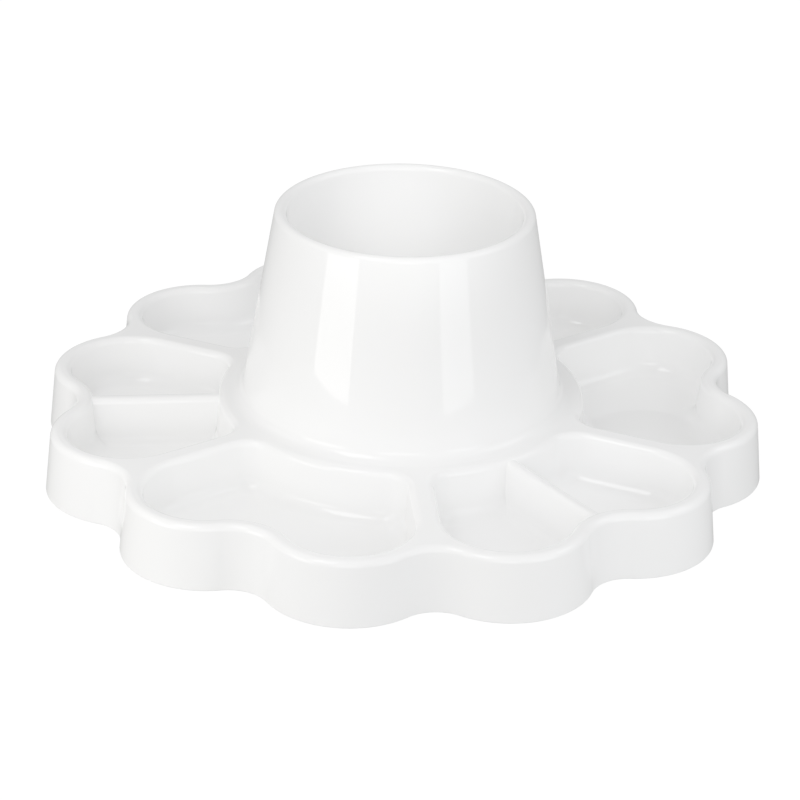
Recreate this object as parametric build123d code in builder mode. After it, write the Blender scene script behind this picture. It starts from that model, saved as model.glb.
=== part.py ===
from build123d import *
import os
from math import acos, asin, atan, cos, degrees, radians, sin, sqrt, tan

# Mixing palette: a flower-shaped tray of twelve petals round a tall cup, all one thin-walled moulding.
# Each wall of the moulding is its own solid, and neighbouring walls meet face to face.
# The origin is on the cup's axis, at the level that the palette stands on. Millimetres and degrees, +Z up.

# Driving dimensions
PETALS = 12
PETAL_CENTRE_R = 88.5
PETAL_R = 24.2
VALLEY_R = 14.5
SKIRT_DRAFT = 6.3

DECK_TOP = 20.2
DECK_THICKNESS = 2.4
WALL = 2.0
RIM_ROUND = 2.3

PANS = 6
DIVIDED_PANS = (2, 4, 6)
FIRST_PAN_ANGLE = 30
RIM_WIDTH = 4.9
PAN_INNER_R = 57.8
PAN_CORNER_R = 8.0
PAN_DEPTH = 15.7
PAN_DRAFT = 5.0
PAN_FOOT_R = 5.0
PAN_EDGE_ROUND = 2.2

DIVIDER_WIDTH = 4.4
DIVIDER_DROP = 0.7
DIVIDER_TOP_R = 2.0
DIVIDER_DRAFT = 3.0
DIVIDER_FOOT_R = 3.0

TOTAL_HEIGHT = 81.6
CONE_R_AT_DECK = 50.7
CONE_R_AT_LIP = 40.0
CONE_FOOT_R = 4.0
CONE_FLANGE_R = 55.0
LIP_R = 1.9
CUP_SEAM_Z = 75.0
CUP_DRAFT = 5.0
CUP_FLOOR_TOP = 5.0
CUP_FOOT_R = 10.0

# Sizes that follow from them
HALF_STEP = 180 / PETALS
HALF_GAP = PETAL_CENTRE_R * sin(radians(HALF_STEP))
CENTRES_APART = PETAL_R + VALLEY_R
VALLEY_CENTRE_R = PETAL_CENTRE_R * cos(radians(HALF_STEP)) + sqrt(CENTRES_APART**2 - HALF_GAP**2)
PETAL_TURN = 90 + HALF_STEP - degrees(acos(HALF_GAP / CENTRES_APART))
SKIRT_SPREAD = DECK_TOP * tan(radians(SKIRT_DRAFT))
DECK_UNDER = DECK_TOP - DECK_THICKNESS
PAN_FLOOR_TOP = DECK_TOP - PAN_DEPTH
PAN_ANGLES = [FIRST_PAN_ANGLE + 360 / PANS * k for k in range(PANS)]


def polar(radius, angle):
    """The plan point at a radius and an angle."""
    return (radius * cos(radians(angle)), radius * sin(radians(angle)))


def turned_plane(height, angle):
    """A level plane on the axis, with its X direction turned to the angle."""
    return Plane(origin=(0, 0, height), x_dir=(*polar(1, angle), 0), z_dir=(0, 0, 1))


def flower_line(outset):
    """Draws the outline of petals and valleys at the deck's level, moved outwards by outset."""
    for k in range(PETALS):
        angle = HALF_STEP * (2 * k + 1)
        valley_angle = angle + HALF_STEP
        CenterArc(polar(PETAL_CENTRE_R, angle), PETAL_R + outset, angle - PETAL_TURN, 2 * PETAL_TURN)
        CenterArc(
            polar(VALLEY_CENTRE_R, valley_angle),
            VALLEY_R - outset,
            angle + PETAL_TURN + 180,
            2 * (HALF_STEP - PETAL_TURN),
        )


def pan_line(outset):
    """Draws a two-petal pan's outline at the deck's level, about the X direction, moved outwards."""
    petal_r = PETAL_R - RIM_WIDTH + outset
    inner_r = PAN_INNER_R - outset
    corner_r = PAN_CORNER_R + outset
    rib_angle = 2 * HALF_STEP
    square_to_rib = rib_angle + 90
    petal_centre = Vector(*polar(PETAL_CENTRE_R, HALF_STEP))
    side_end = petal_centre + Vector(*polar(petal_r, square_to_rib))

    # The inner corner's arc touches the inner arc and the straight side, which is parallel to the rib.
    corner_from_rib = HALF_GAP - petal_r + corner_r
    corner_turn = degrees(asin(corner_from_rib / (inner_r + corner_r)))
    corner_centre = Vector(*polar(inner_r + corner_r, rib_angle - corner_turn))
    side_start = corner_centre + Vector(*polar(corner_r, square_to_rib))

    CenterArc((0, 0), inner_r, 0, rib_angle - corner_turn)
    CenterArc(corner_centre, corner_r, rib_angle + 180 - corner_turn, corner_turn - 90)
    Line(side_start, side_end)
    CenterArc(petal_centre, petal_r, square_to_rib, HALF_STEP - PETAL_TURN - square_to_rib)
    CenterArc(
        (VALLEY_CENTRE_R, 0),
        VALLEY_R + RIM_WIDTH - outset,
        180 + HALF_STEP - PETAL_TURN,
        PETAL_TURN - HALF_STEP,
    )
    mirror(about=Plane.XZ)


def pan_body(angle, outset):
    """The drafted bowl of one pan, from the deck's top down, moved outwards by outset."""
    with BuildPart() as body:
        with BuildSketch(turned_plane(DECK_TOP, angle)):
            with BuildLine():
                pan_line(outset)
            make_face()
        extrude(amount=-PAN_DEPTH - outset, taper=PAN_DRAFT)
        floor_edges = body.faces().sort_by(Axis.Z)[0].edges()
        fillet(floor_edges, PAN_FOOT_R + outset)
    return body.part


pan_hollows = [pan_body(angle, 0) for angle in PAN_ANGLES]
pan_outsides = [pan_body(angle, WALL) for angle in PAN_ANGLES]

# The tray's outer form before it is thinned: a drafted flower block with the six pans sunk into it.
with BuildPart() as tray_form:
    with BuildSketch():
        with BuildLine():
            flower_line(SKIRT_SPREAD)
        make_face()
    extrude(amount=DECK_TOP, taper=SKIRT_DRAFT)
    for hollow in pan_hollows:
        add(hollow, mode=Mode.SUBTRACT)
    top_face = tray_form.faces().sort_by(Axis.Z)[-1]
    pan_edges = [edge for wire in top_face.inner_wires() for edge in wire.edges()]
    fillet(pan_edges, PAN_EDGE_ROUND)
    top_face = tray_form.faces().sort_by(Axis.Z)[-1]
    fillet(top_face.outer_wire().edges(), RIM_ROUND)

# Petal skirt: the drafted outer wall, open underneath, up to the underside of the deck.
with BuildPart() as petal_skirt:
    with BuildSketch():
        with BuildLine():
            flower_line(SKIRT_SPREAD)
        make_face()
    extrude(amount=DECK_UNDER, taper=SKIRT_DRAFT)
    with BuildSketch():
        with BuildLine():
            flower_line(SKIRT_SPREAD - WALL)
        make_face()
    extrude(amount=DECK_UNDER, taper=SKIRT_DRAFT, mode=Mode.SUBTRACT)
petal_skirt.part.label = "petal_skirt"

# Top deck: the rim, the ribs between the pans and the ring round the cone, with every edge rounded.
with BuildPart() as top_deck:
    add(tray_form.part)
    split(bisect_by=Plane.XY.offset(DECK_UNDER), keep=Keep.TOP)
    with BuildSketch(Plane.XY.offset(DECK_UNDER)):
        Circle(CONE_FLANGE_R)
    extrude(amount=DECK_THICKNESS, mode=Mode.SUBTRACT)
top_deck.part.label = "top_deck"

# Paint pans: six two-petal bowls of even wall, hung from the underside of the deck.
paint_pans = []
for k in range(PANS):
    with BuildPart() as paint_pan:
        add(pan_outsides[k])
        add(pan_hollows[k], mode=Mode.SUBTRACT)
        split(bisect_by=Plane.XY.offset(DECK_UNDER), keep=Keep.BOTTOM)
    paint_pan.part.label = f"paint_pan_{k + 1}"
    paint_pans.append(paint_pan.part)

# Pan dividers: a thin radial wall in every second pan, a little below the deck, with a rounded top, drafted
# faces and a flared foot. Its ends follow the pan's walls and the rounded edge of the deck.
divider_top = DECK_TOP - DIVIDER_DROP
top_half = DIVIDER_WIDTH / 2
foot_half = top_half + (divider_top - PAN_FLOOR_TOP) * tan(radians(DIVIDER_DRAFT))
base_half = foot_half + 2 * DIVIDER_FOOT_R
divider_start = PAN_INNER_R - PAN_EDGE_ROUND
divider_end = VALLEY_CENTRE_R - VALLEY_R - RIM_WIDTH + PAN_EDGE_ROUND
pan_dividers = []
for number in DIVIDED_PANS:
    angle = PAN_ANGLES[number - 1]
    section = Plane(
        origin=(*polar(divider_start, angle), PAN_FLOOR_TOP),
        x_dir=(*polar(1, angle + 90), 0),
        z_dir=(*polar(1, angle), 0),
    )
    height = divider_top - PAN_FLOOR_TOP
    with BuildPart() as pan_divider:
        with BuildSketch(section):
            with BuildLine():
                FilletPolyline(
                    (-base_half, -WALL),
                    (-base_half, 0),
                    (-foot_half, 0),
                    (-top_half, height),
                    (top_half, height),
                    (foot_half, 0),
                    (base_half, 0),
                    (base_half, -WALL),
                    radius=(0, 0, DIVIDER_FOOT_R, DIVIDER_TOP_R, DIVIDER_TOP_R, DIVIDER_FOOT_R, 0, 0),
                    close=True,
                )
            make_face()
        extrude(amount=divider_end - divider_start)
        add(tray_form.part, mode=Mode.SUBTRACT)
    pan_divider.part.label = f"pan_divider_{len(pan_dividers) + 1}"
    pan_dividers.append(pan_divider.part)

# Cup cone: the cup's outer wall, with the rounded foot that blends it into the deck.
cone_lean = (CONE_R_AT_DECK - CONE_R_AT_LIP) / (TOTAL_HEIGHT - DECK_TOP)
cone_angle = degrees(atan(cone_lean))
cone_wall_across = WALL / cos(radians(cone_angle))
foot_centre_r = CONE_R_AT_DECK + CONE_FOOT_R * tan(radians((90 - cone_angle) / 2))


def cone_r(height):
    """The radius of the cone's outer face at a height."""
    return CONE_R_AT_DECK - (height - DECK_TOP) * cone_lean


with BuildPart() as cup_cone:
    with BuildSketch(Plane.XZ):
        with BuildLine():
            foot_centre = (foot_centre_r, DECK_TOP + CONE_FOOT_R)
            foot_arc = CenterArc(foot_centre, CONE_FOOT_R, 180 + cone_angle, 90 - cone_angle)
            Polyline(
                foot_arc @ 1,
                (CONE_FLANGE_R, DECK_TOP),
                (CONE_FLANGE_R, DECK_UNDER),
                (cone_r(DECK_UNDER) - cone_wall_across, DECK_UNDER),
                (cone_r(CUP_SEAM_Z) - cone_wall_across, CUP_SEAM_Z),
                (cone_r(CUP_SEAM_Z), CUP_SEAM_Z),
                foot_arc @ 0,
            )
        make_face()
    revolve(axis=Axis.Z)
cup_cone.part.label = "cup_cone"

# Water cup: the lip, rounded right over, and the bowl that hangs from it inside the cone.
lip_z = TOTAL_HEIGHT - LIP_R
lip_centre_r = cone_r(lip_z) - LIP_R / cos(radians(cone_angle))
bowl_wall_across = WALL / cos(radians(CUP_DRAFT))
floor_under = CUP_FLOOR_TOP - WALL


def bowl_r(height):
    """The radius of the bowl's inner face at a height."""
    return lip_centre_r - LIP_R / cos(radians(CUP_DRAFT)) - (lip_z - height) * tan(radians(CUP_DRAFT))


with BuildPart() as water_cup:
    with BuildSketch(Plane.XZ):
        with BuildLine():
            lip_arc = CenterArc((lip_centre_r, lip_z), LIP_R, cone_angle, 180 - CUP_DRAFT - cone_angle)
            inner_floor = (bowl_r(CUP_FLOOR_TOP), CUP_FLOOR_TOP)
            FilletPolyline(lip_arc @ 1, inner_floor, (0, CUP_FLOOR_TOP), radius=CUP_FOOT_R)
            Line((0, CUP_FLOOR_TOP), (0, floor_under))
            outer_floor = (bowl_r(floor_under) + bowl_wall_across, floor_under)
            outer_seam = (bowl_r(CUP_SEAM_Z) + bowl_wall_across, CUP_SEAM_Z)
            FilletPolyline((0, floor_under), outer_floor, outer_seam, radius=CUP_FOOT_R + WALL)
            Polyline(outer_seam, (cone_r(CUP_SEAM_Z), CUP_SEAM_Z), lip_arc @ 0)
        make_face()
    revolve(axis=Axis.Z)
water_cup.part.label = "water_cup"

os.makedirs("parts", exist_ok=True)
shell = [petal_skirt.part, top_deck.part, cup_cone.part, water_cup.part]
for piece in shell + paint_pans + pan_dividers:
    export_step(piece, f"parts/{piece.label}.step")
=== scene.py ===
from math import acos, asin, atan, cos, degrees, pi, radians, sin, sqrt, tan

import bpy
import numpy as np
from mathutils import Matrix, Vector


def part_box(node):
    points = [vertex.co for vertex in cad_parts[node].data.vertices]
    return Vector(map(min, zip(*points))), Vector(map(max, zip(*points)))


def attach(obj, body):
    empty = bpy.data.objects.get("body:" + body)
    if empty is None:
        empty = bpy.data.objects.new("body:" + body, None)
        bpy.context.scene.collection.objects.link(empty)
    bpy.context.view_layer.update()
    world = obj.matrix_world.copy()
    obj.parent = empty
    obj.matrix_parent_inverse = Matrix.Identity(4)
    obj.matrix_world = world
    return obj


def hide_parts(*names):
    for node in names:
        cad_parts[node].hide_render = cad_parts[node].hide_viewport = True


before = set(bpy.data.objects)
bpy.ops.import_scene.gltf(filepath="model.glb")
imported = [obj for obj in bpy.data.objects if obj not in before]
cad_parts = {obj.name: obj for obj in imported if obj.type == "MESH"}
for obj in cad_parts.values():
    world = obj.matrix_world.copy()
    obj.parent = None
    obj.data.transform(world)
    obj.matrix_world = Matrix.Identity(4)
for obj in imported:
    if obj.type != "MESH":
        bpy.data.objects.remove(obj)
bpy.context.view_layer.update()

# Mixing palette: a flower-shaped tray of twelve petals round a tall water cup, one gloss white moulding.
# Each wall of the moulding is a closed surface of its own. Where two walls meet, they share the joint line
# and their slope there, so the gloss runs on over the joint. Shapes are in millimetres and degrees, and turn
# to metres as each mesh is written.
MM = 0.001


def cad_corners(node):
    """The CAD node's lowest and highest corners, in millimetres."""
    low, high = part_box(node)
    return np.round(np.array(low) / MM, 3), np.round(np.array(high) / MM, 3)


# Levels and radii that the CAD nodes give
DECK_UNDER = cad_corners("top_deck")[0][2]
DECK_TOP = cad_corners("top_deck")[1][2]
CONE_FLANGE_R = cad_corners("cup_cone")[1][0]
CUP_SEAM_Z = cad_corners("cup_cone")[1][2]
CUP_UNDER = cad_corners("water_cup")[0][2]
CUP_TOP = cad_corners("water_cup")[1][2]
PAN_UNDER = cad_corners("paint_pan_1")[0][2]
DIVIDER_TOP = cad_corners("pan_divider_1")[1][2]

# Petals and the drafted skirt under them
PETALS = 12
PETAL_CENTRE_R = 88.5
PETAL_R = 24.2
VALLEY_R = 14.5
SKIRT_DRAFT = 6.3
WALL = 2.0
RIM_ROUND = 2.3
SKIRT_FOOT_ROUND = 0.4

# Pans, each under two petals
PANS = 6
DIVIDED_PANS = (2, 4, 6)
FIRST_PAN_ANGLE = 30
RIM_WIDTH = 4.9
PAN_INNER_R = 57.8
PAN_CORNER_R = 8.0
PAN_DRAFT = 5.0
PAN_FOOT_R = 5.0
PAN_EDGE_ROUND = 2.2
PAN_MIDDLE_R = 78.0

# Dividers in every second pan
DIVIDER_TOP_HALF = 2.2
DIVIDER_TOP_R = 2.0
DIVIDER_DRAFT = 3.0
DIVIDER_FOOT_R = 3.0
DIVIDER_BITE = 0.05

# Cone and cup
CONE_R_AT_DECK = 50.7
CONE_R_AT_LIP = 40.0
CONE_FOOT_R = 4.0
LIP_R = 1.9
CUP_DRAFT = 5.0
CUP_FOOT_R = 10.0

# Steps along each stretch of an outline or a section
RING_STEPS = 12
CORNER_STEPS = 6
SIDE_STEPS = 6
RIB_END_STEPS = 8
PETAL_STEPS = 36
VALLEY_STEPS = 14
ROUND_STEPS = 12
WALL_STEPS = 4

# Sizes that follow from them
HALF_STEP = 180 / PETALS
RIB_ANGLE = 180 / PANS
PAN_ANGLES = [FIRST_PAN_ANGLE + 360 / PANS * k for k in range(PANS)]
HALF_GAP = PETAL_CENTRE_R * sin(radians(HALF_STEP))
CENTRES_APART = PETAL_R + VALLEY_R
VALLEY_CENTRE_R = PETAL_CENTRE_R * cos(radians(HALF_STEP)) + sqrt(CENTRES_APART**2 - HALF_GAP**2)
PETAL_TURN = 90 + HALF_STEP - degrees(acos(HALF_GAP / CENTRES_APART))
CORNER_CENTRE_R = PAN_INNER_R + PAN_CORNER_R
CORNER_TURN = degrees(asin((HALF_GAP - PETAL_R + RIM_WIDTH + PAN_CORNER_R) / CORNER_CENTRE_R))
PAN_FLOOR = PAN_UNDER + WALL
CUP_FLOOR = CUP_UNDER + WALL
CONE_LEAN = (CONE_R_AT_DECK - CONE_R_AT_LIP) / (CUP_TOP - DECK_TOP)
CONE_DRAFT = degrees(atan(CONE_LEAN))


# Outlines and sections. Both are a pair of arrays: points in a plane, and the way the surface faces there.

def direction(angle):
    """Unit vectors at angles in degrees: the cosine and the sine of each."""
    turn = np.radians(angle)
    return np.stack([np.cos(turn), np.sin(turn)], axis=-1)


def arc(centre, radius, start, end, steps):
    """Points at a radius round a centre, facing away from it, or towards it where the radius is negative."""
    away = direction(np.linspace(start, end, steps + 1))
    return np.array(centre) + abs(radius) * away, np.sign(radius) * away


def run(start, end, facing=0.0, steps=1):
    """Points at even steps from start to end, all facing one way, given as an angle."""
    points = np.linspace(start, end, steps + 1)
    return points, np.broadcast_to(direction(facing), points.shape)


def chain(*parts):
    """Parts laid end to end, with the point that two of them share kept once."""
    points = np.concatenate([part[0] for part in parts])
    facing = np.concatenate([part[1] for part in parts])
    gap = np.linalg.norm(np.diff(points, axis=0), axis=1)
    keep = np.append(True, gap > 1e-6)
    return points[keep], facing[keep]


def there_and_back(half):
    """A half outline above the X direction, followed by its mirror image below it, back to the start."""
    points, facing = half
    mirror = np.array([1, -1])
    return chain(half, (points[::-1] * mirror, facing[::-1] * mirror))


def polar(radius, angle):
    """The plan point at a radius and an angle."""
    return radius * direction(angle)


petal_centre = polar(PETAL_CENTRE_R, HALF_STEP)
valley_centre = polar(VALLEY_CENTRE_R, RIB_ANGLE)
corner_centre = polar(CORNER_CENTRE_R, RIB_ANGLE - CORNER_TURN)
rim_end = HALF_STEP - PETAL_TURN
rim_start = HALF_STEP + PETAL_TURN
square_to_rib = RIB_ANGLE + 90
rib_end_turn = (rim_start + square_to_rib) / 2

# Half of the rim's outline over one pan: half a valley at the rib, a petal, and half a valley at the pan's
# middle.
half_rim = chain(
    arc(valley_centre, -VALLEY_R, RIB_ANGLE + 180, rim_start + 180, VALLEY_STEPS),
    arc(petal_centre, PETAL_R, rim_start, rim_end, PETAL_STEPS),
    arc((VALLEY_CENTRE_R, 0), -VALLEY_R, rim_end + 180, 180, VALLEY_STEPS),
)
sector_rim = there_and_back(half_rim)

# Half of a pan's outline at the deck: along the cone, round the corner, along the rib, and round the petal.
pan_petal_r = PETAL_R - RIM_WIDTH
half_pan = chain(
    arc((0, 0), -PAN_INNER_R, 0, RIB_ANGLE - CORNER_TURN, RING_STEPS),
    arc(corner_centre, PAN_CORNER_R, RIB_ANGLE - CORNER_TURN + 180, square_to_rib, 2 * CORNER_STEPS),
    run(
        corner_centre + polar(PAN_CORNER_R, square_to_rib),
        petal_centre + polar(pan_petal_r, square_to_rib),
        square_to_rib,
        SIDE_STEPS,
    ),
    arc(petal_centre, pan_petal_r, square_to_rib, rib_end_turn, RIB_END_STEPS),
    arc(petal_centre, pan_petal_r, rib_end_turn, rim_start, VALLEY_STEPS),
    arc(petal_centre, pan_petal_r, rim_start, rim_end, PETAL_STEPS),
    arc((VALLEY_CENTRE_R, 0), -VALLEY_R - RIM_WIDTH, rim_end + 180, 180, VALLEY_STEPS),
)
pan_line = there_and_back(half_pan)

# The whole ring round the axis, with its steps at the same angles as the deck's hole
half_ring = np.append(
    np.linspace(0, RIB_ANGLE - CORNER_TURN, RING_STEPS + 1),
    np.linspace(RIB_ANGLE - CORNER_TURN, RIB_ANGLE, CORNER_STEPS + 1)[1:],
)
sector_ring = np.append(-half_ring[:0:-1], half_ring)
ring_angles = np.append((sector_ring[:-1] + np.array(PAN_ANGLES)[:, None]).ravel(), 360)
ring = (np.zeros((len(ring_angles), 2)), direction(ring_angles))


def moved_out(line, outset):
    """The outline's points, each moved by outset the way it faces."""
    return line[0] + outset * line[1]


def sector_edge(rim_outset):
    """The edge of the deck's share round one pan, matched point for point with the pan's outline.

    It goes along the cone's ring, out along the middle of the rib and back along the rim, then mirrored.
    """
    rib_stops = [
        CONE_FLANGE_R,
        CORNER_CENTRE_R * cos(radians(CORNER_TURN)),
        PETAL_CENTRE_R * cos(radians(HALF_STEP)),
        VALLEY_CENTRE_R - VALLEY_R + rim_outset,
    ]
    rib_runs = [
        run(polar(start, RIB_ANGLE), polar(end, RIB_ANGLE), steps=steps)
        for start, end, steps in zip(rib_stops, rib_stops[1:], (CORNER_STEPS, SIDE_STEPS, RIB_END_STEPS))
    ]
    cone_ring = (CONE_FLANGE_R * direction(half_ring), direction(half_ring))
    rim = (moved_out(half_rim, rim_outset), half_rim[1])
    return there_and_back(chain(cone_ring, *rib_runs, rim))[0]


# Surfaces. A sheet is a pair of grids: points in space, and the way the surface faces at each of them.

def carried(line, section):
    """A section carried along an outline.

    Each outline point moves by the section's first value the way the outline faces, and rises to its second.
    """
    (points, outward), (profile, facing) = line, section
    surface = np.empty((len(points), len(profile), 3))
    surface[..., :2] = points[:, None] + profile[:, :1] * outward[:, None]
    surface[..., 2] = profile[:, 1]
    normals = np.empty_like(surface)
    normals[..., :2] = facing[:, :1] * outward[:, None]
    normals[..., 2] = facing[:, 1]
    return surface, normals


def level(first, second, height, up, steps=1):
    """A flat sheet at one height: straight lines from each point of one outline to its match on another."""
    along = np.linspace(0, 1, steps + 1)[:, None]
    surface = np.empty((len(first), steps + 1, 3))
    surface[..., :2] = first[:, None] * (1 - along) + second[:, None] * along
    surface[..., 2] = height
    return surface, np.broadcast_to(np.array([0.0, 0.0, up]), surface.shape)


def turned(sheet, angle):
    """The sheet turned about the vertical axis."""
    (x, y) = direction(angle)
    turn = np.array([[x, y, 0], [-y, x, 0], [0, 0, 1]])
    return sheet[0] @ turn, sheet[1] @ turn


def foot_centre(wall_at, floor, radius, draft):
    """The centre of the bend between a drafted wall and a floor, one radius from both."""
    height = floor + radius
    return wall_at(height) - radius / cos(radians(draft)), height


def skirt_outset(height):
    """How far the skirt's outer face stands out from the rim's outline."""
    return (DECK_TOP - height) * tan(radians(SKIRT_DRAFT))


def pan_outset(height):
    """How far the pan's inner face stands out from the pan's outline."""
    return (height - DECK_TOP) * tan(radians(PAN_DRAFT))


def cone_r(height):
    """The radius of the cone's outer face."""
    return CONE_R_AT_DECK - (height - DECK_TOP) * CONE_LEAN


def edge_centre(radius, draft):
    """The centre of the round from the deck's top down into a drafted wall: its inset, and its height."""
    return radius * (1 - sin(radians(draft))) / cos(radians(draft)), DECK_TOP - radius


rim_inset, rim_round_z = edge_centre(RIM_ROUND, SKIRT_DRAFT)
pan_edge_out, pan_round_z = edge_centre(PAN_EDGE_ROUND, PAN_DRAFT)

# The deck's edge into a pan, and the pan's inside below it, as one section from the deck's top to the floor
pan_edge = chain(
    arc((pan_edge_out, pan_round_z), PAN_EDGE_ROUND, 90, 180 - PAN_DRAFT, ROUND_STEPS),
    run((pan_outset(DECK_UNDER), DECK_UNDER), (pan_outset(DECK_UNDER), DECK_UNDER), 180 - PAN_DRAFT),
)
pan_foot_centre = foot_centre(pan_outset, PAN_FLOOR, PAN_FOOT_R, PAN_DRAFT)
pan_foot = arc(pan_foot_centre, -PAN_FOOT_R, -PAN_DRAFT, -90, ROUND_STEPS)
pan_inside = chain(
    run((pan_outset(DECK_UNDER), DECK_UNDER), pan_foot[0][0], 180 - PAN_DRAFT, WALL_STEPS),
    pan_foot,
)


def petal_skirt():
    """The drafted outer wall: a thin upright section with rounded feet, carried round the whole flower."""
    outer_foot = foot_centre(skirt_outset, 0, SKIRT_FOOT_ROUND, SKIRT_DRAFT)
    inner_foot = (outer_foot[0] - WALL + 2 * SKIRT_FOOT_ROUND / cos(radians(SKIRT_DRAFT)), outer_foot[1])
    outer_top = (skirt_outset(DECK_UNDER), DECK_UNDER)
    inner_top = (outer_top[0] - WALL, DECK_UNDER)
    outer_bend = arc(outer_foot, SKIRT_FOOT_ROUND, SKIRT_DRAFT, -90, WALL_STEPS)
    inner_bend = arc(inner_foot, SKIRT_FOOT_ROUND, -90, SKIRT_DRAFT - 180, WALL_STEPS)
    skin = chain(
        run(outer_top, outer_bend[0][0], SKIRT_DRAFT, WALL_STEPS),
        outer_bend,
        inner_bend,
        run(inner_bend[0][-1], inner_top, SKIRT_DRAFT + 180, WALL_STEPS),
    )
    top = run(inner_top, outer_top, 90)
    return [turned(carried(sector_rim, section), angle) for section in (skin, top) for angle in PAN_ANGLES]


def top_deck():
    """The rim, the ribs and the ring round the cone: six equal shares, each with its rounded edges."""
    rim_edge = chain(
        arc((-rim_inset, rim_round_z), RIM_ROUND, 90, SKIRT_DRAFT, ROUND_STEPS),
        run((skirt_outset(DECK_UNDER), DECK_UNDER), (skirt_outset(DECK_UNDER), DECK_UNDER), SKIRT_DRAFT),
    )
    hole = run((CONE_FLANGE_R, DECK_UNDER), (CONE_FLANGE_R, DECK_TOP), 180)
    top = level(moved_out(pan_line, pan_edge_out), sector_edge(-rim_inset), DECK_TOP, 1)
    under = level(
        moved_out(pan_line, pan_outset(DECK_UNDER)), sector_edge(skirt_outset(DECK_UNDER)), DECK_UNDER, -1
    )
    share = [top, under, carried(pan_line, pan_edge), carried(sector_rim, rim_edge)]
    return [turned(sheet, angle) for sheet in share for angle in PAN_ANGLES] + [carried(ring, hole)]


def paint_pan(angle):
    """A bowl of even wall: its inside and outside sections carried round the pan, and two flat floors."""
    def outer_face(height):
        return pan_outset(height) + WALL

    outer_foot = foot_centre(outer_face, PAN_UNDER, PAN_FOOT_R + WALL, PAN_DRAFT)
    outer_bend = arc(outer_foot, PAN_FOOT_R + WALL, -PAN_DRAFT, -90, ROUND_STEPS)
    outer_top = (outer_face(DECK_UNDER), DECK_UNDER)
    outside = chain(run(outer_top, outer_bend[0][0], -PAN_DRAFT, WALL_STEPS), outer_bend)
    top = run(pan_inside[0][0], outer_top, 90)
    middle = np.broadcast_to(np.array([PAN_MIDDLE_R, 0.0]), pan_line[0].shape)
    floor = level(moved_out(pan_line, pan_inside[0][-1, 0]), middle, PAN_FLOOR, 1, WALL_STEPS)
    under = level(moved_out(pan_line, outside[0][-1, 0]), middle, PAN_UNDER, -1, WALL_STEPS)
    sheets = [carried(pan_line, section) for section in (pan_inside, outside, top)] + [floor, under]
    return [turned(sheet, angle) for sheet in sheets]


def pan_divider(angle):
    """A drafted wall with a round top and flared feet, drawn out along the pan's middle line.

    Each point of its section runs from the pan's wall by the cone to the pan's wall by the rim, where the
    wall's place at that height is read off the pan's own section.
    """
    def face(height):
        return DIVIDER_TOP_HALF + (DIVIDER_TOP - height) * tan(radians(DIVIDER_DRAFT))

    lean = cos(radians(DIVIDER_DRAFT))
    top_z = DIVIDER_TOP - DIVIDER_TOP_R
    foot_z = PAN_FLOOR + DIVIDER_FOOT_R
    top_centre = (face(top_z) - DIVIDER_TOP_R / lean, top_z)
    flare_centre = (face(foot_z) + DIVIDER_FOOT_R / lean, foot_z)
    top_round = arc(top_centre, DIVIDER_TOP_R, 90, DIVIDER_DRAFT, ROUND_STEPS)
    flare = arc(flare_centre, -DIVIDER_FOOT_R, DIVIDER_DRAFT + 180, 270, ROUND_STEPS)
    half, half_facing = chain(top_round, run(top_round[0][-1], flare[0][0], DIVIDER_DRAFT, WALL_STEPS), flare)
    section = np.concatenate([half[::-1] * (-1, 1), half])
    facing = np.concatenate([half_facing[::-1] * (-1, 1), half_facing])

    wall = np.concatenate([pan_inside[0][::-1], pan_edge[0][::-1]])

    def ends(y, z):
        """Where a line at y and z meets the pan's two walls, a little way into them."""
        out = np.interp(z, wall[:, 1], wall[:, 0])
        near = np.sqrt((PAN_INNER_R - out)**2 - y**2) - DIVIDER_BITE
        far = VALLEY_CENTRE_R - np.sqrt((VALLEY_R + RIM_WIDTH - out)**2 - y**2) + DIVIDER_BITE
        return near, far

    def drawn(profile, normals, steps):
        """The section's points drawn out along X, from one wall to the other."""
        along = np.linspace(0, 1, steps + 1)[:, None]
        near, far = ends(profile[:, 0], profile[:, 1])
        surface = np.empty((steps + 1, len(profile), 3))
        surface[..., 0] = near * (1 - along) + far * along
        surface[..., 1:] = profile
        facing_grid = np.zeros_like(surface)
        facing_grid[..., 1:] = normals
        return surface, facing_grid

    def cap(end, way):
        """The flat end of the wall, across from each point of the half section to its mirror image."""
        surface = np.empty((len(half), 2, 3))
        surface[..., 0] = ends(half[:, 0], half[:, 1])[end][:, None]
        surface[..., 1] = half[:, :1] * (1, -1)
        surface[..., 2] = half[:, 1:]
        return surface, np.broadcast_to(np.array([way, 0.0, 0.0]), surface.shape)

    feet = np.array([half[-1] * (-1, 1), half[-1]])
    sheets = [
        drawn(section, facing, 2 * WALL_STEPS),
        drawn(feet, np.array([[0, -1], [0, -1]]), 2 * WALL_STEPS),
        cap(0, -1.0),
        cap(1, 1.0),
    ]
    return [turned(sheet, angle) for sheet in sheets]


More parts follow.
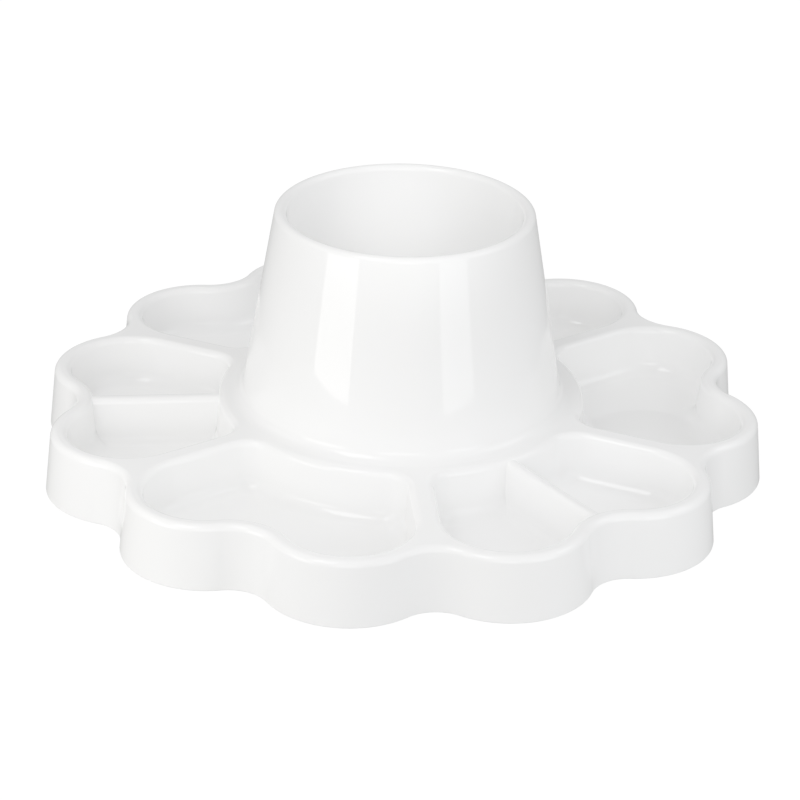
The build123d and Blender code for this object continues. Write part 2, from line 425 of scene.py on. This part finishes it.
def cup_cone():
    """The cup's outer wall: its section, with the bend into the deck, turned round the axis."""
    foot = (CONE_R_AT_DECK + CONE_FOOT_R * tan(radians((90 - CONE_DRAFT) / 2)), DECK_TOP + CONE_FOOT_R)
    foot_bend = arc(foot, -CONE_FOOT_R, CONE_DRAFT + 180, 270, ROUND_STEPS)
    across = WALL / cos(radians(CONE_DRAFT))
    outer_top = (cone_r(CUP_SEAM_Z), CUP_SEAM_Z)
    inner_top = (cone_r(CUP_SEAM_Z) - across, CUP_SEAM_Z)
    inner_foot = (cone_r(DECK_UNDER) - across, DECK_UNDER)
    flange = (CONE_FLANGE_R, DECK_TOP)
    flange_under = (CONE_FLANGE_R, DECK_UNDER)
    outer_face = run(outer_top, foot_bend[0][0], CONE_DRAFT, 3 * WALL_STEPS)
    sections = [
        chain(outer_face, foot_bend, run(flange, flange, 90)),
        run(flange, flange_under, 0),
        run(flange_under, inner_foot, -90),
        run(inner_foot, inner_top, CONE_DRAFT + 180, 3 * WALL_STEPS),
        run(inner_top, outer_top, 90),
    ]
    return [carried(ring, section) for section in sections]


def water_cup():
    """The lip, rounded right over, and the bowl that hangs from it: its section turned round the axis."""
    lip_z = CUP_TOP - LIP_R
    lip_centre = (cone_r(lip_z) - LIP_R / cos(radians(CONE_DRAFT)), lip_z)
    lip = arc(lip_centre, LIP_R, CONE_DRAFT, 180 - CUP_DRAFT, 2 * ROUND_STEPS)
    lean = cos(radians(CUP_DRAFT))

    def bowl_r(height):
        return lip_centre[0] - LIP_R / lean - (lip_z - height) * tan(radians(CUP_DRAFT))

    foot = foot_centre(bowl_r, CUP_FLOOR, CUP_FOOT_R, CUP_DRAFT)
    inner_bend = arc(foot, -CUP_FOOT_R, -CUP_DRAFT, -90, ROUND_STEPS)
    outer_bend = arc(foot, CUP_FOOT_R + WALL, -90, -CUP_DRAFT, ROUND_STEPS)
    seam = (cone_r(CUP_SEAM_Z), CUP_SEAM_Z)
    bowl_top = (bowl_r(CUP_SEAM_Z) + WALL / lean, CUP_SEAM_Z)
    inside = chain(
        run(seam, lip[0][0], CONE_DRAFT),
        lip,
        run(lip[0][-1], inner_bend[0][0], 180 - CUP_DRAFT, 3 * WALL_STEPS),
        inner_bend,
        run(inner_bend[0][-1], (0, CUP_FLOOR), 90, 2 * WALL_STEPS),
    )
    outside = chain(
        run((0, CUP_UNDER), outer_bend[0][0], -90, 2 * WALL_STEPS),
        outer_bend,
        run(outer_bend[0][-1], bowl_top, -CUP_DRAFT, 3 * WALL_STEPS),
    )
    return [carried(ring, section) for section in (inside, outside, run(bowl_top, seam, -90))]


def write_mesh(name, sheets):
    """One closed mesh from the sheets, in metres.

    Points that lie together become one vertex, a square with two corners together becomes a triangle, faces
    turn the way their sheet faces, and each corner keeps its sheet's own direction for the gloss.
    """
    points = np.concatenate([surface.reshape(-1, 3) for surface, facing in sheets])
    facing = np.concatenate([facing.reshape(-1, 3) for surface, facing in sheets])
    squares = []
    start = 0
    for surface, _ in sheets:
        rows, columns = surface.shape[:2]
        index = start + np.arange(rows * columns).reshape(rows, columns)
        square = np.stack([index[:-1, :-1], index[1:, :-1], index[1:, 1:], index[:-1, 1:]], axis=-1)
        squares.append(square.reshape(-1, 4))
        start += rows * columns
    squares = np.concatenate(squares)
    first, second = (points[squares[:, k + 2]] - points[squares[:, k]] for k in (0, 1))
    inside_out = (np.cross(first, second) * facing[squares].sum(axis=1)).sum(axis=1) < 0
    squares[inside_out] = squares[inside_out, ::-1]

    _, kept, welded = np.unique(np.round(points, 4), axis=0, return_index=True, return_inverse=True)
    welded = welded.ravel()
    apart = welded[squares] != welded[np.roll(squares, -1, axis=1)]
    whole = apart.all(axis=1)
    triangles = squares[~whole][apart[~whole]].reshape(-1, 3)
    squares = squares[whole]

    mesh = bpy.data.meshes.new(name)
    faces = welded[squares].tolist() + welded[triangles].tolist()
    mesh.from_pydata((points[kept] * MM).tolist(), [], faces)
    mesh.shade_smooth()
    corners = np.concatenate([squares.ravel(), triangles.ravel()])
    mesh.normals_split_custom_set(facing[corners].tolist())
    return mesh


# Materials

def linear(hex_colour):
    """A colour from its sRGB hex value, in the linear values that the shaders take."""
    parts = [int(hex_colour[k:k + 2], 16) / 255 for k in (1, 3, 5)]
    colour = [part / 12.92 if part <= 0.04045 else ((part + 0.055) / 1.055)**2.4 for part in parts]
    return (*colour, 1.0)


def add_node(material, kind, settings=None, links=None):
    """Adds a node of a kind, with its settings, and links other nodes' outputs to its inputs.

    An input is called by its name, or by its number where several share a name.
    """
    tree = material.node_tree
    node = tree.nodes.new(kind)
    for name, value in (settings or {}).items():
        if isinstance(name, int) or name in node.inputs:
            node.inputs[name].default_value = value
        else:
            setattr(node, name, value)
    for name, source in (links or {}).items():
        tree.links.new(source, node.inputs[name])
    return node


def empty_material(name):
    """A material with nodes, and none in it yet."""
    material = bpy.data.materials.new(name)
    material.use_nodes = True
    material.node_tree.nodes.clear()
    return material


def gloss_white_abs():
    """White ABS, injection moulded in a polished steel mould.

    The eye sees a clean opaque white with a wet-looking gloss. The gloss wavers a little over each wall,
    where the plastic shrank as it cooled, and breaks up very finely, because the skin isn't quite flat.
    """
    waver_mm = 30.0
    waver_height_mm = 0.05
    skin_mm = 1.6
    skin_height_mm = 0.0015
    cloud_mm = 45.0
    cloud_low, cloud_high = 0.3, 0.7
    material = empty_material("gloss white ABS, injection moulded")
    place = add_node(material, "ShaderNodeTexCoord").outputs["Object"]

    def noise(size_mm, detail):
        """Noise whose features are about a size across."""
        settings = {"Scale": 1 / (size_mm * MM), "Detail": detail}
        return add_node(material, "ShaderNodeTexNoise", settings, {"Vector": place})

    waver = noise(waver_mm, 1.0)
    skin = noise(skin_mm, 2.0)
    cloud = noise(cloud_mm, 3.0)
    tint = add_node(material, "ShaderNodeValToRGB", links={"Fac": cloud.outputs["Fac"]})
    tint.color_ramp.elements[0].position = cloud_low
    tint.color_ramp.elements[0].color = linear("#FAFAF9")
    tint.color_ramp.elements[1].position = cloud_high
    tint.color_ramp.elements[1].color = linear("#FCFCFC")
    gloss = add_node(
        material,
        "ShaderNodeMapRange",
        {"From Min": cloud_low, "From Max": cloud_high, "To Min": 0.03, "To Max": 0.05},
        {"Value": cloud.outputs["Fac"]},
    )
    wavering = add_node(
        material,
        "ShaderNodeBump",
        {"Strength": 1.0, "Distance": waver_height_mm * MM},
        {"Height": waver.outputs["Fac"]},
    )
    broken = add_node(
        material,
        "ShaderNodeBump",
        {"Strength": 1.0, "Distance": skin_height_mm * MM},
        {"Height": skin.outputs["Fac"], "Normal": wavering.outputs["Normal"]},
    )
    plastic = add_node(
        material,
        "ShaderNodeBsdfPrincipled",
        {"IOR": 1.53},
        {
            "Base Color": tint.outputs["Color"],
            "Roughness": gloss.outputs["Result"],
            "Normal": broken.outputs["Normal"],
        },
    )
    add_node(material, "ShaderNodeOutputMaterial", links={"Surface": plastic.outputs["BSDF"]})
    return material


def background_paper():
    """Background paper, matt, burnt out to white for the camera.

    The eye sees white all round the palette, with only a trace of its shadow. To the palette the paper is a
    light grey, so the light that comes up from it is weaker than the light from above.
    """
    burnt_out = 0.85
    glow_strength = 1.15
    material = empty_material("background paper, matt, burnt out to white")
    paper = add_node(material, "ShaderNodeBsdfDiffuse", {"Color": linear("#B4B4B4"), "Roughness": 0.5})
    glow = add_node(material, "ShaderNodeEmission", {"Color": linear("#FFFFFF"), "Strength": glow_strength})
    ray = add_node(material, "ShaderNodeLightPath")
    share = add_node(
        material,
        "ShaderNodeMath",
        {"operation": "MULTIPLY", 1: burnt_out},
        {0: ray.outputs["Is Camera Ray"]},
    )
    seen = add_node(
        material,
        "ShaderNodeMixShader",
        links={"Fac": share.outputs["Value"], 1: paper.outputs["BSDF"], 2: glow.outputs["Emission"]},
    )
    add_node(material, "ShaderNodeOutputMaterial", links={"Surface": seen.outputs["Shader"]})
    return material


# The pieces, each in the place of its CAD node
plastic = gloss_white_abs()
walls = {
    "petal_skirt": petal_skirt(),
    "top_deck": top_deck(),
    "cup_cone": cup_cone(),
    "water_cup": water_cup(),
}
for k, angle in enumerate(PAN_ANGLES):
    walls[f"paint_pan_{k + 1}"] = paint_pan(angle)
for k, number in enumerate(DIVIDED_PANS):
    walls[f"pan_divider_{k + 1}"] = pan_divider(PAN_ANGLES[number - 1])

for node, sheets in walls.items():
    mesh = write_mesh(f"moulded_{node}", sheets)
    mesh.materials.append(plastic)
    piece = bpy.data.objects.new(f"moulded_{node}", mesh)
    bpy.context.scene.collection.objects.link(piece)
    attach(piece, "root")
    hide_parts(node)


# The studio: a sheet of paper, a white room, lights and the camera. In metres.
FLOOR_HALF = 4.0
FLOOR_STEPS = 8
FLOOR_DROP_MM = 0.02
WHITE = "#FFFFFF"
WARM_WHITE = "#FFFEFA"
COOL_WHITE = "#FCFEFF"
COOLER_WHITE = "#FAFDFF"


def paper_floor():
    """A level square of paper, just below the palette's feet."""
    side = np.linspace(-FLOOR_HALF, FLOOR_HALF, FLOOR_STEPS + 1) / MM
    first, second = (np.column_stack([side, np.full_like(side, end)]) for end in (side[0], side[-1]))
    sheet = level(first, second, -FLOOR_DROP_MM, 1, FLOOR_STEPS)
    floor = bpy.data.objects.new("paper_floor", write_mesh("paper_floor", [sheet]))
    floor.data.materials.append(background_paper())
    bpy.context.scene.collection.objects.link(floor)


def white_room(strength):
    """The studio's white walls, as an even light from all round."""
    world = bpy.data.worlds.new("white_room")
    world.use_nodes = True
    background = world.node_tree.nodes["Background"]
    background.inputs["Color"].default_value = linear(WHITE)
    background.inputs["Strength"].default_value = strength
    bpy.context.scene.world = world


def softbox(name, azimuth, elevation, distance, size, radiance, tint=WHITE):
    """An area light that faces the palette from an azimuth and an elevation, seen from it.

    Azimuth 0 is in front, along -Y. An evenly lit panel's power is its radiance times its area times pi.
    """
    light = bpy.data.lights.new(name, "AREA")
    light.shape = "RECTANGLE"
    light.size, light.size_y = size
    light.energy = radiance * size[0] * size[1] * pi
    light.color = linear(tint)[:3]
    box = bpy.data.objects.new(name, light)
    box.matrix_world = facing_place(azimuth, elevation, 0, distance)
    bpy.context.scene.collection.objects.link(box)


def cup_spot(azimuth, elevation, distance, watts):
    """A snooted lamp whose narrow soft-edged beam falls through the cup's mouth onto its far wall."""
    beam_radius = 0.031
    light = bpy.data.lights.new("cup_spot", "SPOT")
    light.energy = watts
    light.spot_size = 2 * atan(beam_radius / distance)
    light.spot_blend = 0.7
    light.shadow_soft_size = 0.02
    lamp = bpy.data.objects.new("cup_spot", light)
    lamp.matrix_world = facing_place(azimuth, elevation, 0, distance, height=CUP_TOP * MM)
    bpy.context.scene.collection.objects.link(lamp)


def facing_place(azimuth, elevation, roll, distance, side=0.0, height=0.03):
    """The place of something that looks at the axis, from an azimuth, an elevation and a distance.

    It looks at a height on the axis or a little to one side of it, and may be rolled about its line of sight.
    """
    aim = Matrix.Rotation(radians(azimuth), 4, "Z") @ Matrix.Translation((side, 0, height))
    tilt = Matrix.Rotation(radians(90 - elevation), 4, "X") @ Matrix.Rotation(radians(roll), 4, "Z")
    return aim @ tilt @ Matrix.Translation((0, 0, distance))


VIEW_AZIMUTH = 24.15
VIEW_ELEVATION = 26.14
VIEW_ROLL = 1.34
VIEW_DISTANCE = 0.7961
VIEW_SIDE = -0.00024
VIEW_HEIGHT = 0.0161
LENS = 112.5
SENSOR = 36.0


def studio_camera():
    """A short telephoto that looks down on the palette from the front."""
    camera = bpy.data.objects.new("camera", bpy.data.cameras.new("camera"))
    camera.data.lens = LENS
    camera.data.sensor_width = SENSOR
    camera.data.clip_start = 0.01
    camera.matrix_world = facing_place(
        VIEW_AZIMUTH, VIEW_ELEVATION, VIEW_ROLL, VIEW_DISTANCE, VIEW_SIDE, VIEW_HEIGHT
    )
    bpy.context.scene.collection.objects.link(camera)
    bpy.context.scene.camera = camera


paper_floor()
white_room(strength=0.345)

# Two low panels close to the palette, which draw the upright bands on the cone
softbox(
    "left_panel",
    azimuth=VIEW_AZIMUTH - 49,
    elevation=5,
    distance=0.30,
    size=(0.15, 0.14),
    radiance=2.8,
    tint=WARM_WHITE,
)
softbox(
    "right_panel",
    azimuth=VIEW_AZIMUTH + 39,
    elevation=5,
    distance=0.30,
    size=(0.12, 0.14),
    radiance=1.7,
    tint=COOL_WHITE,
)

# Softboxes further off, which light the walls from in front and from the sides
softbox(
    "low_front_softbox",
    azimuth=VIEW_AZIMUTH,
    elevation=16,
    distance=1.3,
    size=(0.6, 0.35),
    radiance=2.9,
)
softbox(
    "high_left_softbox",
    azimuth=VIEW_AZIMUTH - 38,
    elevation=52,
    distance=1.2,
    size=(0.44, 0.60),
    radiance=3.4,
)
softbox(
    "right_front_softbox",
    azimuth=VIEW_AZIMUTH + 45,
    elevation=38,
    distance=1.3,
    size=(0.8, 0.45),
    radiance=0.6,
    tint=COOL_WHITE,
)
softbox(
    "right_side_softbox",
    azimuth=VIEW_AZIMUTH + 85,
    elevation=38,
    distance=1.3,
    size=(0.6, 0.6),
    radiance=1.6,
    tint=COOLER_WHITE,
)
softbox(
    "left_side_softbox",
    azimuth=VIEW_AZIMUTH - 90,
    elevation=36,
    distance=1.3,
    size=(0.9, 0.45),
    radiance=0.7,
    tint=WARM_WHITE,
)
cup_spot(azimuth=VIEW_AZIMUTH + 4, elevation=28, distance=1.0, watts=13.0)

studio_camera()

# A soft tone curve, which keeps the near-whites close together
VIEW_GAMMA = 2.0
bpy.context.scene.view_settings.view_transform = "Standard"
bpy.context.scene.view_settings.gamma = VIEW_GAMMA
